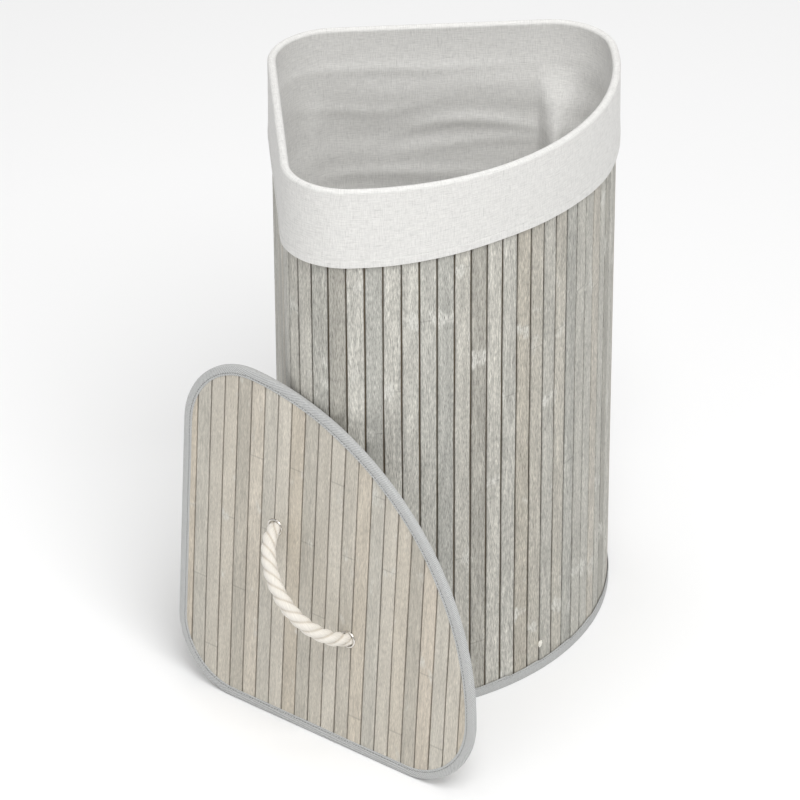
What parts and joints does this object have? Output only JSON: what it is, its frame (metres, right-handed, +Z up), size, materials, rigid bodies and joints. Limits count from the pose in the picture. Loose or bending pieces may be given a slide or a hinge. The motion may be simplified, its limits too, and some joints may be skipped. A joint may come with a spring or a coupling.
{
  "type": "laundry hamper with lid",
  "caption": "Corner laundry hamper: a slatted bamboo bin with a curved front, a cloth liner folded over its rim, and a loose slatted lid with a rope handle.",
  "frame": {"origin": "on the floor, at the centre of the square that the bin's outline fits in", "axes": "+Z up; the bin's square corner is towards -X +Y, its curved side faces +X -Y, and the lid leans on its front left corner"},
  "size_m": [0.4589, 0.5011, 0.6],
  "materials": {
    "bamboo": "grey-washed, matt",
    "lid_bamboo": "grey-washed, matt",
    "backing_cloth": "plain weave",
    "binding": "grey twill tape",
    "hoop_steel": "drawn wire",
    "board": "raw fibreboard",
    "base_cloth": "grey plain weave",
    "tie_cord": "cotton cord",
    "liner_cloth": "off-white slub weave",
    "eyelet_steel": "nickel plated",
    "rope": "three-strand twisted cotton"
  },
  "bodies": {
    "hamper": {"wall_slats_left": "bamboo", "wall_slats_front_left_corner": "bamboo", "wall_slats_front_left": "bamboo", "wall_slats_front_middle": "bamboo", "wall_slats_front_right": "bamboo", "wall_slats_right_corner": "bamboo", "wall_slats_back": "bamboo", "wall_slats_back_corner": "bamboo", "wall_backing_cloth": "backing_cloth", "wall_seam_tape": "binding", "wall_bottom_binding": "binding", "wall_top_binding": "binding", "rim_hoop": "hoop_steel", "base_cover_bottom": "base_cloth", "base_board": "board", "base_cover_top": "base_cloth", "base_skirt": "base_cloth", "base_tie": "tie_cord", "base_tie_knot": "tie_cord"},
    "liner": {"liner_bottom": "liner_cloth", "liner_side": "liner_cloth", "liner_cuff": "liner_cloth", "liner_cuff_hem": "liner_cloth"},
    "lid": {"lid_slats": "lid_bamboo", "lid_board": "board", "lid_lining": "base_cloth", "lid_binding": "binding", "lid_eyelets": "eyelet_steel", "lid_eyelet_washers": "eyelet_steel", "rope_necks": "rope", "rope_knots": "rope"},
    "handle": {"rope_handle": "rope"}
  },
  "joints": [
    {"name": "liner_lift", "type": "slide", "parent": "hamper", "child": "liner", "axis": [0, 0, 1], "range_m": [0, 0.62]},
    {"name": "lid_away", "type": "slide", "parent": "hamper", "child": "lid", "axis": [-0.6761, -0.7327, 0.0774], "range_m": [0, 0.35]},
    {"name": "handle_swing", "type": "hinge", "parent": "lid", "child": "handle", "pos_m": [-0.19424, -0.15614, 0.21199], "axis": [0.5016, -0.5348, -0.68], "range_deg": [-70, 70], "stiffness_Nm_per_rad": 0.5}
  ]
}
